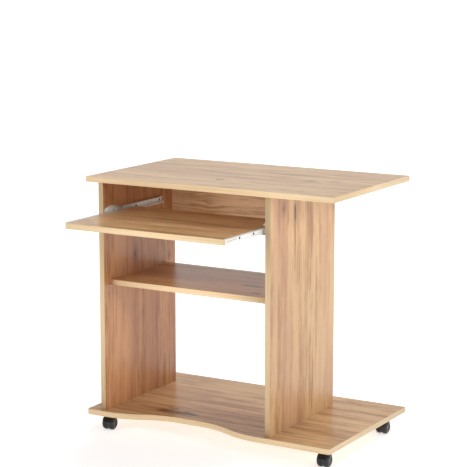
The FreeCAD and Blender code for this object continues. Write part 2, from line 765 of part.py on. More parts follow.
def caster_kingpin(name, x, y):
    """The fixed pin that the hood turns on, and the ring in its groove that holds the hood up."""
    shaft = add_rod(f"{name}_pin_shaft", "kingpin_radius", (x, y, "kingpin_bottom"),
                    f"{base_under} - kingpin_bottom", "z")
    groove_outer = add_rod(f"{name}_groove_outer", "kingpin_radius + overshoot", (x, y, "groove_bottom"),
                           "ring_thick", "z")
    groove_inner = add_rod(f"{name}_groove_inner", "groove_radius", (x, y, "groove_bottom"),
                           "ring_thick", "z")
    groove = cut(f"{name}_groove", groove_outer, [groove_inner])
    kingpins.append(cut(f"{name}_pin", shaft, [groove]))
    ring = add_rod(f"{name}_ring_disc", "ring_radius", (x, y, "groove_bottom"), "ring_thick", "z")
    ring_hole = add_rod(f"{name}_ring_hole", "groove_radius", (x, y, "groove_bottom - overshoot"),
                        "ring_thick + 2*overshoot", "z")
    retaining_rings.append(cut(f"{name}_ring", ring, [ring_hole]))


def caster_hood(name, x, y):
    """The swivelling hood: a disc between the wheels, a cap over them and a boss for the kingpin."""
    axle_y = f"{y} - caster_trail"
    axle = (x, axle_y, "wheel_radius")
    fender = add_rod(f"{name}_fender", "fender_radius", moved(axle, "x", "-fender_half"),
                     "2*fender_half", "x")
    clip = add_box(f"{name}_clip", (f"{x} - fender_half", f"{axle_y} - fender_radius", "fender_bottom"),
                   (f"{x} + fender_half", f"{axle_y} + fender_radius", "hood_top"))
    cap = common(f"{name}_cap", fender, clip)
    boss = add_rod(f"{name}_boss", "boss_radius", (x, y, "boss_bottom"), "hood_top - boss_bottom", "z")
    web = add_rod(f"{name}_web", "web_radius", moved(axle, "x", "-web_half"), "2*web_half", "x")
    strut = add_box(f"{name}_strut", (f"{x} - web_half", axle_y, "wheel_radius"),
                    (f"{x} + web_half", f"{y} + web_half", "fender_bottom"))
    blank = fuse(f"{name}_hood_blank", [cap, boss, web, strut])
    tools = [add_rod(f"{name}_axle_bore", "axle_radius", moved(axle, "x", "-fender_half"),
                     "2*fender_half", "x"),
             add_rod(f"{name}_pin_bore", "kingpin_radius + running_gap",
                     (x, y, "kingpin_bottom - end_gap"), "hood_top - kingpin_bottom + 2*end_gap", "z"),
             add_rod(f"{name}_ring_room", "ring_radius + ring_room", (x, y, "groove_bottom - ring_room"),
                     "ring_thick + 2*ring_room", "z")]
    for sign in (-1, 1):
        tools.append(rod_towards(f"{name}_wheel_room_{sign + 1}", "fender_inner", axle,
                                 "fender_half + overshoot - web_half", "x", sign, "web_half"))
    keep(f"{name}_hood", cut(f"{name}_hood_cut", blank, tools))
    keep(f"{name}_axle", add_rod(f"{name}_axle_pin", "axle_radius", moved(axle, "x", "-axle_half"),
                                 "2*axle_half", "x"))


def caster_wheel(node, x, axle_y, sign):
    """One wheel: a domed outer face with a round groove, and a blind bore from the inner side."""
    centre = (x, axle_y, "wheel_radius")
    disc = rod_towards(f"{node}_disc", "wheel_radius", centre, "wheel_width", "x", sign, "wheel_inner")
    dome = doc.addObject("Part::Sphere", f"{node}_dome")
    bind(dome, "Radius", "wheel_dome")
    reach = "wheel_inner + wheel_width - wheel_edge - sqrt(wheel_dome^2 - wheel_radius^2)"
    place(dome, moved(centre, "x", reach if sign > 0 else f"-({reach})"))
    blank = common(f"{node}_domed", disc, dome)
    groove = doc.addObject("Part::Torus", f"{node}_groove")
    groove.Placement = FreeCAD.Placement(FreeCAD.Vector(), ALONG["x"])
    bind(groove, "Radius1", "wheel_groove")
    bind(groove, "Radius2", "wheel_groove_radius")
    outer = "wheel_inner + wheel_width"
    place(groove, moved(centre, "x", outer if sign > 0 else f"-({outer})"))
    bore = rod_towards(f"{node}_bore", "axle_radius + running_gap", centre,
                       "axle_half + end_gap - wheel_inner + overshoot", "x", sign, "wheel_inner - overshoot")
    keep(node, cut(f"{node}_cut", blank, [groove, bore]))


def build_casters():
    columns = {"left": f"{left_end} + caster_left_inset", "right": f"{right_end} - caster_right_inset"}
    rows = {"front": "desk_front + caster_front_inset", "rear": f"{desk_back} - caster_rear_inset"}
    for row_name, y in rows.items():
        for column_name, x in columns.items():
            name = f"{row_name}_{column_name}_caster"
            caster_plate(name, x, y)
            caster_kingpin(name, x, y)
            caster_hood(name, x, y)
            for side_name, sign in (("left", -1), ("right", 1)):
                caster_wheel(f"{name}_{side_name}_wheel", x, f"{y} - caster_trail", sign)
    keep("caster_kingpins", group("kingpin_group", kingpins))
    keep("caster_retaining_rings", group("retaining_ring_group", retaining_rings))
    keep("caster_screws", group("caster_screw_group", caster_screws))


# ---------------------------------------------------------------- the whole desk

join_boards()
build_slides()
build_casters()
build_boards()
keep("cam_discs", group("cam_disc_group", cam_discs))
keep("cam_bolts", group("cam_bolt_group", cam_bolts))
keep("dowels", group("dowel_group", dowels))
keep("base_screws", group("base_screw_group", long_screws))
doc.recompute()

for thing in doc.Objects:
    if "Invalid" in thing.State or "Error" in thing.State:
        raise RuntimeError(f"{thing.Name} did not compute: {thing.State}")
os.makedirs("parts", exist_ok=True)
for node, thing in nodes.items():
    shape = thing.Shape
    if shape.isNull() or not shape.isValid() or not shape.Solids:
        raise RuntimeError(f"{node} has no valid solid")
    shape.exportStep(f"parts/{node}.step")
    print(f"{node}: {len(shape.Solids)} solids, {shape.Volume:.1f} cubic mm")
print(f"{len(nodes)} nodes")
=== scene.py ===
"""Looks for the computer desk: materials, rounded edge bands, slides, casters, camera and light."""

import json
import math

import bmesh
import bpy
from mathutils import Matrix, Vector

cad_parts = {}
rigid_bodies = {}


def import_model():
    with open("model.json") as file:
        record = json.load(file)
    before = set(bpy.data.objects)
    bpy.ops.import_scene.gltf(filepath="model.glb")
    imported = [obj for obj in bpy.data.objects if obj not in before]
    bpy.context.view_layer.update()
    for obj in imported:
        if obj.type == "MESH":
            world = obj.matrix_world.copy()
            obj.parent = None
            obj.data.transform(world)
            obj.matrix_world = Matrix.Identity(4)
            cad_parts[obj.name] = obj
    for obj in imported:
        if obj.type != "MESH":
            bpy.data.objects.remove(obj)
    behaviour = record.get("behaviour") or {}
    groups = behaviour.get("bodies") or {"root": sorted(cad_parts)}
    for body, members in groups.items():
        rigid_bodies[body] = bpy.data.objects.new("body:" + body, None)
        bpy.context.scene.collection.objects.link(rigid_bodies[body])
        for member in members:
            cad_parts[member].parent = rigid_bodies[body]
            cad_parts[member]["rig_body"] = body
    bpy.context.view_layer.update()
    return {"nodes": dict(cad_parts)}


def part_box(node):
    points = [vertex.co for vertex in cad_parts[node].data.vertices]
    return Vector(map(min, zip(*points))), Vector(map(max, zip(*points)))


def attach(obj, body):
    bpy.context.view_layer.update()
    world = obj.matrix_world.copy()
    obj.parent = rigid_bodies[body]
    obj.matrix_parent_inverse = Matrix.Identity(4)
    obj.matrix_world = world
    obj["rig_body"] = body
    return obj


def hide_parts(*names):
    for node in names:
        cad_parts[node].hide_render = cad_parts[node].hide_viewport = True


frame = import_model()

MM = 0.001
CORNERS = ("front_left", "front_right", "rear_left", "rear_right")
SIDES = ("left", "right")


# ---------------------------------------------------------------- node graphs

class Graph:
    """Adds and wires the nodes of one material or node group."""

    def __init__(self, tree):
        self.tree = tree

    def wire(self, socket, value):
        if isinstance(value, bpy.types.NodeSocket):
            self.tree.links.new(value, socket)
        else:
            socket.default_value = value

    def node(self, kind, inputs=None, **settings):
        made = self.tree.nodes.new("ShaderNode" + kind)
        for name, value in settings.items():
            setattr(made, name, value)
        for key, value in (inputs or {}).items():
            self.wire(made.inputs[key], value)
        return made

    def math(self, operation, *values):
        return self.node("Math", dict(enumerate(values)), operation=operation).outputs[0]

    def add(self, first, second):
        return self.math("ADD", first, second)

    def times(self, first, second):
        return self.math("MULTIPLY", first, second)

    def swing(self, value, reach):
        """A value between 0 and 1, moved to lie round zero and scaled to span reach."""
        return self.times(self.add(value, -0.5), reach)

    def apart(self, value, centre, unit):
        """How many units value is from centre."""
        return self.math("DIVIDE", self.math("SUBTRACT", value, centre), unit)

    def square_sum(self, first, second):
        return self.add(self.times(first, first), self.times(second, second))

    def vector(self, x, y, z):
        return self.node("CombineXYZ", {0: x, 1: y, 2: z}).outputs[0]

    def stretch(self, point, scale, offset=(0, 0, 0)):
        scaled = self.node("VectorMath", {0: point, 1: scale}, operation="MULTIPLY").outputs[0]
        return self.node("VectorMath", {0: scaled, 1: offset}, operation="ADD").outputs[0]

    def noise(self, point, detail=2.0, roughness=0.5, scale=1.0):
        inputs = {"Vector": point, "Scale": scale, "Detail": detail, "Roughness": roughness}
        return self.node("TexNoise", inputs).outputs[0]

    def levels(self, value, low, high, to_low=0.0, to_high=1.0):
        """Eases from to_low to to_high while value goes from low to high."""
        inputs = {"Value": value, "From Min": low, "From Max": high, "To Min": to_low, "To Max": to_high}
        return self.node("MapRange", inputs, interpolation_type="SMOOTHSTEP").outputs[0]

    def blend(self, factor, first, second, kind="MIX"):
        made = self.node("Mix", data_type="RGBA", blend_type=kind)
        for socket, value in zip([s for s in made.inputs if s.enabled], (factor, first, second)):
            self.wire(socket, value)
        return [s for s in made.outputs if s.enabled][0]

    def ramp(self, factor, stops):
        made = self.node("ValToRGB", {0: factor})
        elements = made.color_ramp.elements
        while len(elements) < len(stops):
            elements.new(0.5)
        for element, (position, colour) in zip(elements, stops):
            element.position = position
            element.color = colour
        return made.outputs[0]

    def bump(self, height, distance, strength):
        inputs = {"Height": height, "Distance": distance, "Strength": strength}
        return self.node("Bump", inputs).outputs[0]


def tone(red, green, blue):
    """A colour with its three linear values."""
    return (red, green, blue, 1.0)


def new_material(name, **shader):
    """A material with one Principled shader, and the graph of its nodes."""
    material = bpy.data.materials.new(name)
    material.use_nodes = True
    graph = Graph(material.node_tree)
    principled = material.node_tree.nodes["Principled BSDF"]
    for key, value in shader.items():
        graph.wire(principled.inputs[key.replace("_", " ").title().replace("Ior", "IOR")], value)
    return material, graph, principled


def object_point(graph):
    return graph.node("TexCoord").outputs["Object"]


# ---------------------------------------------------------------- oak print on the boards

OAK_LIGHT = tone(0.74, 0.495, 0.265)
OAK_MID = tone(0.61, 0.375, 0.185)
OAK_DEEP = tone(0.42, 0.220, 0.092)
OAK_RED = tone(0.56, 0.29, 0.165)
OAK_STREAK = tone(0.26, 0.115, 0.042)
KNOT_DARK = tone(0.085, 0.038, 0.018)
KNOT_WARM = tone(0.25, 0.115, 0.05)
EDGE_DARK = tone(0.62, 0.42, 0.225)
EDGE_MID = tone(0.735, 0.535, 0.310)
EDGE_LIGHT = tone(0.80, 0.615, 0.375)
KNOT_FADE = 0.035  # how fast a knot's push on the grain dies away


def knot_group():
    """A knot in flat-sawn wood.

    Push is how far it moves the grain aside, and Distance how far a point is from its middle, as a
    share of the knot's own length and width.
    """
    tree = bpy.data.node_groups.new("oak_knot", "ShaderNodeTree")
    for name in ("Along", "Across", "Place Along", "Place Across", "Length", "Width"):
        tree.interface.new_socket(name, in_out="INPUT", socket_type="NodeSocketFloat")
    for name in ("Push", "Distance"):
        tree.interface.new_socket(name, in_out="OUTPUT", socket_type="NodeSocketFloat")
    graph = Graph(tree)
    source = tree.nodes.new("NodeGroupInput").outputs
    along = graph.apart(source["Along"], source["Place Along"], source["Length"])
    across = graph.apart(source["Across"], source["Place Across"], source["Width"])
    square = graph.square_sum(along, across)
    ease = graph.math("EXPONENT", graph.times(square, -KNOT_FADE))
    share = graph.math("DIVIDE", ease, graph.math("MAXIMUM", square, 1.0))
    push = graph.times(graph.times(across, source["Width"]), share)
    sink = tree.nodes.new("NodeGroupOutput")
    tree.links.new(push, sink.inputs["Push"])
    tree.links.new(graph.math("SQRT", square), sink.inputs["Distance"])
    return tree


def oak(name, along, across, through, seed, knots=(), cracks=(), tint=(1.0, 1.0, 1.0)):
    """Oak-printed melamine: along, across and through are the axis letters of the grain.

    knots are (along, across, length, width, depth of colour) and cracks are (along, across,
    length, width), in metres in the shared frame. tint multiplies the print of one board: it is painted
    shade on the boards that it darkens and painted light on those that it lightens, and it also warms the
    print.
    """
    material, graph, principled = new_material(name, specular_ior_level=0.5)
    split = graph.node("SeparateXYZ", {0: object_point(graph)}).outputs
    axis = dict(zip("xyz", split))
    u, v, w = axis[along], axis[across], axis[through]
    bend = graph.noise(graph.stretch(graph.vector(u, v, w), (2.2, 7.0, 7.0), seed), detail=1.0)
    bent = graph.add(v, graph.swing(bend, 0.030))
    inside, warm = 0.0, 0.0
    for place_along, place_across, length, width, depth in knots:
        knot = graph.node("Group", node_tree=KNOT)
        for key, value in (("Along", u), ("Across", v), ("Place Along", place_along),
                           ("Place Across", place_across), ("Length", length), ("Width", width)):
            graph.wire(knot.inputs[key], value)
        bent = graph.math("SUBTRACT", bent, knot.outputs["Push"])
        wobble = graph.noise(graph.stretch(graph.vector(u, v, w), (160, 260, 260), seed), detail=2.0)
        distance = graph.add(knot.outputs["Distance"], graph.swing(wobble, 0.7))
        inside = graph.math("MAXIMUM", inside, graph.levels(distance, 1.05, 0.25, 0.0, depth))
        warm = graph.math("MAXIMUM", warm, graph.levels(distance, 2.8, 0.6, 0.0, depth))
    grain = graph.vector(u, bent, w)

    def streaks(scale, shift, detail, roughness=0.5):
        """Noise stretched along the grain. scale is (along, across, through), shift sets it apart."""
        offset = tuple(value + shift for value in seed)
        return graph.noise(graph.stretch(grain, scale, offset), detail, roughness)

    broad = streaks((0.9, 8.5, 4.0), 1.7, detail=1.5)
    bands = streaks((1.6, 42.0, 12.0), 3.1, detail=3.0, roughness=0.62)
    lines = streaks((4.5, 190.0, 60.0), 5.3, detail=2.5, roughness=0.6)
    pores = streaks((38.0, 1100.0, 300.0), 7.9, detail=1.0)
    rings = graph.math("SINE", graph.add(graph.times(bent, 330.0), graph.times(bands, 21.0)))
    shade = graph.add(graph.times(bands, 0.55), graph.times(rings, 0.035))
    shade = graph.add(graph.times(broad, 0.62), shade)
    shade = graph.add(shade, graph.swing(lines, 0.46))
    patches = streaks((6.0, 27.0, 14.0), 17.1, detail=2.0, roughness=0.6)
    flecks = streaks((22.0, 95.0, 60.0), 19.3, detail=2.0, roughness=0.65)
    shade = graph.add(shade, graph.swing(patches, 0.44))
    shade = graph.add(shade, graph.swing(flecks, 0.26))
    colour = graph.ramp(graph.levels(shade, 0.36, 0.80), (
        (0.0, OAK_DEEP), (0.34, OAK_MID), (0.72, OAK_LIGHT), (1.0, OAK_LIGHT)))
    red = streaks((1.2, 15.0, 9.0), 11.3, detail=1.0)
    colour = graph.blend(graph.levels(red, 0.50, 0.70, 0.0, 0.50), colour, OAK_RED)
    dark = graph.levels(streaks((2.4, 88.0, 22.0), 13.7, detail=2.0, roughness=0.7), 0.60, 0.78)
    colour = graph.blend(graph.times(dark, 0.50), colour, OAK_STREAK)
    pore = graph.levels(pores, 0.61, 0.70)
    colour = graph.blend(graph.times(pore, 0.30), colour, OAK_STREAK)
    if knots:
        colour = graph.blend(graph.times(warm, 0.62), colour, KNOT_WARM)
        colour = graph.blend(graph.times(inside, 0.86), colour, KNOT_DARK)
    for place_along, place_across, length, width in cracks:
        ragged = graph.noise(graph.stretch(grain, (30, 240, 200), seed), detail=3.0, roughness=0.7)
        offset = graph.add(graph.apart(bent, place_across, width), graph.swing(ragged, 3.4))
        distance = graph.square_sum(offset, graph.apart(u, place_along, length))
        crack = graph.times(graph.levels(distance, 1.0, 0.35), graph.levels(ragged, 0.38, 0.48))
        colour = graph.blend(graph.times(crack, 0.92), colour, KNOT_DARK)
    # Painted light and shade: the whole board's print is multiplied by its tint.
    colour = graph.blend(1.0, colour, tone(*tint), "MULTIPLY")
    graph.wire(principled.inputs["Base Color"], colour)
    rough = graph.add(graph.times(lines, 0.10), graph.times(pore, 0.12))
    graph.wire(principled.inputs["Roughness"], graph.add(rough, 0.26))
    height = graph.add(graph.times(lines, 0.4), graph.times(pore, -1.0))
    graph.wire(principled.inputs["Normal"], graph.bump(height, 0.00004, 0.6))
    return material


def edge_oak(name, painted_lightness):
    """Edge banding: a lighter, yellower print whose grain follows the strip.

    lightness scales the print as painted light and shade: the bands of some boards are painted darker than
    others'.
    """
    material, graph, principled = new_material(name, specular_ior_level=0.45)
    strip = graph.node("UVMap", uv_map="strip").outputs[0]
    bands = graph.noise(graph.stretch(strip, (2.6, 150.0, 1.0)), detail=3.0, roughness=0.6)
    lines = graph.noise(graph.stretch(strip, (11.0, 820.0, 1.0), (4.1, 2.3, 0)), detail=2.0, roughness=0.6)
    tint = graph.noise(graph.stretch(strip, (1.1, 20.0, 1.0), (7.7, 1.1, 0)), detail=1.0)
    shade = graph.add(graph.times(bands, 0.75), graph.add(graph.times(lines, 0.3), graph.times(tint, 0.35)))
    colour = graph.ramp(graph.levels(shade, 0.42, 0.98), (
        (0.0, EDGE_DARK), (0.4, EDGE_MID), (1.0, EDGE_LIGHT)))
    # Painted light and shade: the whole band's print is scaled by lightness.
    colour = graph.blend(1.0, colour, tone(painted_lightness, painted_lightness, painted_lightness), "MULTIPLY")
    graph.wire(principled.inputs["Base Color"], colour)
    graph.wire(principled.inputs["Roughness"], graph.add(graph.times(lines, 0.16), 0.34))
    graph.wire(principled.inputs["Normal"], graph.bump(lines, 0.00003, 0.6))
    return material


# ---------------------------------------------------------------- metal and plastic

def white_enamel():
    material, graph, principled = new_material("white_enamel", coat_weight=0.25, coat_roughness=0.2)
    point = object_point(graph)
    peel = graph.noise(point, detail=2.0, scale=900.0)
    grime = graph.noise(point, detail=4.0, roughness=0.65, scale=34.0)
    colour = graph.blend(graph.levels(grime, 0.50, 0.85, 0.0, 0.35), tone(0.80, 0.80, 0.78),
                         tone(0.60, 0.59, 0.55))
    graph.wire(principled.inputs["Base Color"], colour)
    graph.wire(principled.inputs["Roughness"], graph.levels(grime, 0.3, 0.8, 0.30, 0.46))
    graph.wire(principled.inputs["Normal"], graph.bump(peel, 0.00006, 0.5))
    return material


def white_nylon():
    material, graph, principled = new_material("white_nylon", subsurface_weight=0.1, subsurface_scale=0.002)
    point = object_point(graph)
    mottle = graph.noise(point, detail=3.0, scale=160.0)
    colour = graph.blend(graph.levels(mottle, 0.35, 0.75), tone(0.86, 0.86, 0.84), tone(0.76, 0.75, 0.71))
    graph.wire(principled.inputs["Base Color"], colour)
    graph.wire(principled.inputs["Roughness"], graph.levels(mottle, 0.3, 0.7, 0.34, 0.48))
    graph.wire(principled.inputs["Normal"], graph.bump(mottle, 0.00003, 0.5))
    return material


def plated_steel(name, bright, dull):
    """Plated steel with faint crystals and cloudy patches."""
    material, graph, principled = new_material(name, metallic=1.0)
    point = object_point(graph)
    flakes = graph.node("TexVoronoi", {"Vector": point, "Scale": 420.0}).outputs["Color"]
    cloud = graph.noise(point, detail=4.0, roughness=0.6, scale=90.0)
    colour = graph.blend(graph.levels(cloud, 0.35, 0.75), bright, dull)
    colour = graph.blend(0.08, colour, flakes, "OVERLAY")
    graph.wire(principled.inputs["Base Color"], colour)
    graph.wire(principled.inputs["Roughness"], graph.levels(cloud, 0.3, 0.8, 0.24, 0.44))
    graph.wire(principled.inputs["Normal"], graph.bump(cloud, 0.00004, 0.4))
    return material


def black_plastic(name, shine):
    """Moulded nylon: a fine spark texture, faint dust and scuffs."""
    material, graph, principled = new_material(name, specular_ior_level=0.5)
    point = object_point(graph)
    spark = graph.noise(point, detail=2.0, scale=2400.0)
    dust = graph.noise(point, detail=5.0, roughness=0.7, scale=70.0)
    colour = graph.blend(graph.levels(dust, 0.55, 0.85, 0.0, 0.5), tone(0.006, 0.006, 0.007),
                         tone(0.024, 0.023, 0.022))
    graph.wire(principled.inputs["Base Color"], colour)
    graph.wire(principled.inputs["Roughness"], graph.levels(dust, 0.3, 0.8, shine, shine + 0.18))
    graph.wire(principled.inputs["Normal"], graph.bump(spark, 0.00003, 0.45))
    return material


def beech():
    material, graph, principled = new_material("beech", roughness=0.6)
    point = graph.stretch(object_point(graph), (60, 60, 60))
    fleck = graph.noise(point, detail=4.0, roughness=0.7)
    graph.wire(principled.inputs["Base Color"],
               graph.blend(graph.levels(fleck, 0.3, 0.7), tone(0.66, 0.47, 0.27), tone(0.55, 0.36, 0.19)))
    graph.wire(principled.inputs["Normal"], graph.bump(fleck, 0.0001, 0.5))
    return material


KNOT = knot_group()
# Lit and shaded copies of one band print: the upright and base bands are painted darker as shade, and the
# flat bands are painted lighter as light.
FLAT_EDGE = edge_oak("flat_edge_band", 1.05)
UPRIGHT_EDGE = edge_oak("upright_edge_band", 0.80)
BASE_EDGE = edge_oak("base_edge_band", 0.86)
ENAMEL = white_enamel()
NYLON = white_nylon()
ZINC = plated_steel("zinc_plate", tone(0.66, 0.67, 0.67), tone(0.52, 0.51, 0.47))
DARK = plated_steel("dark_zinc_plate", tone(0.10, 0.095, 0.09), tone(0.05, 0.047, 0.043))
HOOD_PLASTIC = black_plastic("hood_plastic", 0.26)
WHEEL_PLASTIC = black_plastic("wheel_plastic", 0.22)
BEECH = beech()
# Each board's tint is painted light and shade: the left panel, middle panel and shelf are darkened as
# painted shade, and the back panel and tray are lightened as painted light. The desktop's tint only warms
# its print.
OAKS = {
    "desktop": oak("oak_desktop", "x", "y", "z", (3.1, 0.4, 0.2), tint=(1.01, 0.97, 0.89),
                   knots=((0.206, 0.093, 0.013, 0.009, 0.8), (0.270, 0.114, 0.014, 0.010, 0.45)),
                   cracks=((-0.029, -0.007, 0.020, 0.007),)),
    "left_panel": oak("oak_left_panel", "z", "y", "x", (9.4, 2.7, 1.3), tint=(0.85, 0.66, 0.56),
                      knots=((0.502, 0.028, 0.015, 0.008, 0.85), (0.466, 0.214, 0.009, 0.005, 0.7))),
    "middle_panel": oak("oak_middle_panel", "z", "y", "x", (5.6, 8.1, 4.4), tint=(0.90, 0.85, 0.80),
                        knots=((0.692, -0.059, 0.014, 0.007, 0.6),),
                        cracks=((0.672, 0.006, 0.030, 0.005),)),
    "back_panel": oak("oak_back_panel", "x", "z", "y", (1.2, 6.6, 2.9), tint=(1.06, 1.04, 1.08),
                      knots=((-0.206, 0.640, 0.016, 0.010, 0.12),)),
    "shelf": oak("oak_shelf", "x", "y", "z", (7.3, 4.9, 0.6), tint=(0.80, 0.72, 0.66),
                 cracks=((0.118, -0.062, 0.024, 0.008), (0.060, 0.020, 0.050, 0.010))),
    "base_board": oak("oak_base", "x", "y", "z", (2.2, 9.9, 3.5),
                      knots=((-0.205, -0.056, 0.013, 0.009, 0.9), (-0.128, -0.040, 0.010, 0.008, 0.8)),
                      cracks=((-0.172, -0.056, 0.050, 0.014), (-0.115, -0.050, 0.042, 0.012),
                              (-0.180, -0.026, 0.024, 0.008))),
    "keyboard_tray": oak("oak_tray", "x", "y", "z", (6.1, 3.2, 8.8), tint=(1.04, 1.00, 0.94),
                         knots=((0.065, -0.009, 0.016, 0.010, 0.6),)),
}


def dress(node, material):
    """Gives a CAD node its material."""
    slots = frame["nodes"][node].data.materials
    slots.clear()
    slots.append(material)


for board, oak_print in OAKS.items():
    dress(board, oak_print)


# ---------------------------------------------------------------- mesh helpers

def add_piece(name, mesh, material, slot, body, *replaced):
    """Puts a mesh in the scene as a piece that rides on a body and stands for CAD nodes."""
    piece = bpy.data.objects.new(name, mesh)
    bpy.context.scene.collection.objects.link(piece)
    mesh.materials.clear()
    mesh.materials.append(material)
    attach(piece, body)
    if replaced:
        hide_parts(*replaced)
    return piece


def body_of(node):
    return frame["nodes"][node]["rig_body"]


# ---------------------------------------------------------------- edge bands

BAND = 1.0 * MM  # a band's thickness
BAND_RADIUS = 0.7 * MM
ARC_STEPS = 5


def band_section(width):
    """Points of a band's section: (depth from the outer face, place across the board).

    The outer face comes first, with its two rounded corners, and the inner corners come last.
    """
    points = []
    for low, way in ((0.0, 1), (width, -1)):
        arc = []
        for step in range(ARC_STEPS + 1):
            angle = math.radians(90) * step / ARC_STEPS
            depth = BAND_RADIUS * (1 - math.sin(angle))
            arc.append((depth, low + way * BAND_RADIUS * (1 - math.cos(angle))))
        points += arc if way > 0 else arc[::-1]
    return points + [(BAND, width), (BAND, 0.0)]


def add_strip(work, path, inwards, across, width, closed):
    """Sweeps a band's section along path. inwards are the directions into the board at each point."""
    section = band_section(width)
    uv_layer = work.loops.layers.uv["strip"]
    rings = []
    for point, inward in zip(path, inwards):
        rings.append([work.verts.new(point + inward * depth + across * place) for depth, place in section])
    run = [0.0]
    stops = list(path) + ([path[0]] if closed else [])
    for start, end in zip(stops, stops[1:]):
        run.append(run[-1] + (end - start).length)
    girth = [0.0]
    for first, last in zip(section, section[1:] + section[:1]):
        girth.append(girth[-1] + math.dist(first, last))
    count = len(section)
    for index in range(len(stops) - 1):
        here, there = rings[index], rings[(index + 1) % len(rings)]
        for side in range(count):
            after = (side + 1) % count
            face = work.faces.new((here[side], there[side], there[after], here[after]))
            face.smooth = side != count - 2  # all but the flat face that is glued to the board
            corners = ((index, side), (index + 1, side), (index + 1, side + 1), (index, side + 1))
            for loop, (along, around) in zip(face.loops, corners):
                loop[uv_layer].uv = (run[along], girth[around])
    if not closed:
        work.faces.new(rings[0])
        work.faces.new(rings[-1][::-1])


def add_bands(name, node, material, strips_for):
    """One piece for all the strips of one board. strips_for makes them from the box of the CAD node."""
    work = bmesh.new()
    work.loops.layers.uv.new("strip")
    for strip in strips_for(*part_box(node)):
        add_strip(work, *strip)
    bmesh.ops.recalc_face_normals(work, faces=work.faces)
    mesh = bpy.data.meshes.new(name)
    work.to_mesh(mesh)
    work.free()
    add_piece(name, mesh, material, "edge_band", body_of(node), node)


def straight_strip(start, end, inward, across, width):
    """What add_strip needs for a straight strip."""
    return [Vector(start), Vector(end)], [Vector(inward)] * 2, Vector(across), width, False


def front_and_rear_strips(low, high):
    """Strips along a flat board's front and rear edges, over its full length."""
    thick, up = high.z - low.z, (0, 0, 1)
    return [straight_strip((low.x, low.y, low.z), (high.x, low.y, low.z), (0, 1, 0), up, thick),
            straight_strip((high.x, high.y, low.z), (low.x, high.y, low.z), (0, -1, 0), up, thick)]


def four_edge_strips(low, high):
    """Strips round a flat board. Those at its sides run between the front and the rear one."""
    thick, up = high.z - low.z, (0, 0, 1)
    front, rear = low.y + BAND, high.y - BAND
    return front_and_rear_strips(low, high) + [
        straight_strip((high.x, front, low.z), (high.x, rear, low.z), (-1, 0, 0), up, thick),
        straight_strip((low.x, rear, low.z), (low.x, front, low.z), (1, 0, 0), up, thick)]


def panel_strips(low, high):
    """Upright strips on a side panel's front and rear edges."""
    return [straight_strip((low.x, place, low.z), (low.x, place, high.z), (0, inward, 0), (1, 0, 0),
                           high.x - low.x)
            for place, inward in ((low.y, 1), (high.y, -1))]


# The base board's wavy front, as in the CAD: two slopes, each made of two equal arcs.
CORNER_RADIUS = 6 * MM
WAVE_INSET = 60 * MM
WAVE_RUN = 228 * MM
WAVE_VALLEY = 60 * MM
WAVE_DEPTH = 52 * MM
WAVE_STEPS = 16


def wave_outline(low, high):
    """The base board's outer edge in plan, as (x, y) pairs, counter-clockwise from its front left corner."""
    radius = (WAVE_RUN ** 2 + WAVE_DEPTH ** 2) / (4 * WAVE_DEPTH)
    reach = math.asin(WAVE_RUN / 2 / radius)
    start = low.x + WAVE_INSET
    valley_start = start + WAVE_RUN
    valley_end = valley_start + WAVE_VALLEY
    end = valley_end + WAVE_RUN

    def arc(centre, arc_radius, first, last, steps):
        for step in range(steps + 1):
            angle = first + (last - first) * step / steps
            yield centre[0] + arc_radius * math.cos(angle), centre[1] + arc_radius * math.sin(angle)

    quarter = math.radians(90)
    points = list(arc((low.x + CORNER_RADIUS, low.y + CORNER_RADIUS), CORNER_RADIUS,
                      2 * quarter, 3 * quarter, WAVE_STEPS))
    points += arc((start, low.y + radius), radius, -quarter, reach - quarter, WAVE_STEPS)
    points += list(arc((valley_start, low.y + WAVE_DEPTH - radius), radius,
                       quarter + reach, quarter, WAVE_STEPS))[1:]
    points += arc((valley_end, low.y + WAVE_DEPTH - radius), radius, quarter, quarter - reach, WAVE_STEPS)
    points += list(arc((end, low.y + radius), radius, -quarter - reach, -quarter, WAVE_STEPS))[1:]
    points += arc((high.x - CORNER_RADIUS, low.y + CORNER_RADIUS), CORNER_RADIUS, -quarter, 0, WAVE_STEPS)
    return points + [(high.x, high.y), (low.x, high.y)]


def base_strips(low, high):
    """One closed strip round the base board, mitred at every point of its outline."""
    outline = wave_outline(low, high)
    path, inwards = [], []
    for index, (x, y) in enumerate(outline):
        before = Vector(outline[index - 1]) - Vector((x, y))
        after = Vector(outline[(index + 1) % len(outline)]) - Vector((x, y))
        first = Vector((before.y, -before.x)).normalized()
        last = Vector((-after.y, after.x)).normalized()
        middle = (first + last).normalized()
        mitre = middle / middle.dot(first)
        path.append(Vector((x, y, low.z)))
        inwards.append(Vector((mitre.x, mitre.y, 0)))
    return [(path, inwards, Vector((0, 0, 1)), high.z - low.z, True)]


def lower_edge_strip(low, high):
    """The strip along an upright board's lower edge."""
    return [straight_strip((low.x, low.y, low.z), (high.x, low.y, low.z), (0, 0, 1), (0, 1, 0),
                           high.y - low.y)]


add_bands("desktop_band", "desktop_edging", FLAT_EDGE, four_edge_strips)
add_bands("shelf_band", "shelf_edging", FLAT_EDGE, front_and_rear_strips)
add_bands("tray_band", "keyboard_tray_edging", FLAT_EDGE, four_edge_strips)
add_bands("left_panel_band", "left_panel_edging", UPRIGHT_EDGE, panel_strips)
add_bands("middle_panel_band", "middle_panel_edging", UPRIGHT_EDGE, panel_strips)
add_bands("base_band", "base_board_edging", BASE_EDGE, base_strips)
add_bands("back_panel_band", "back_panel_edging", UPRIGHT_EDGE, lower_edge_strip)


# ---------------------------------------------------------------- turned and softened pieces

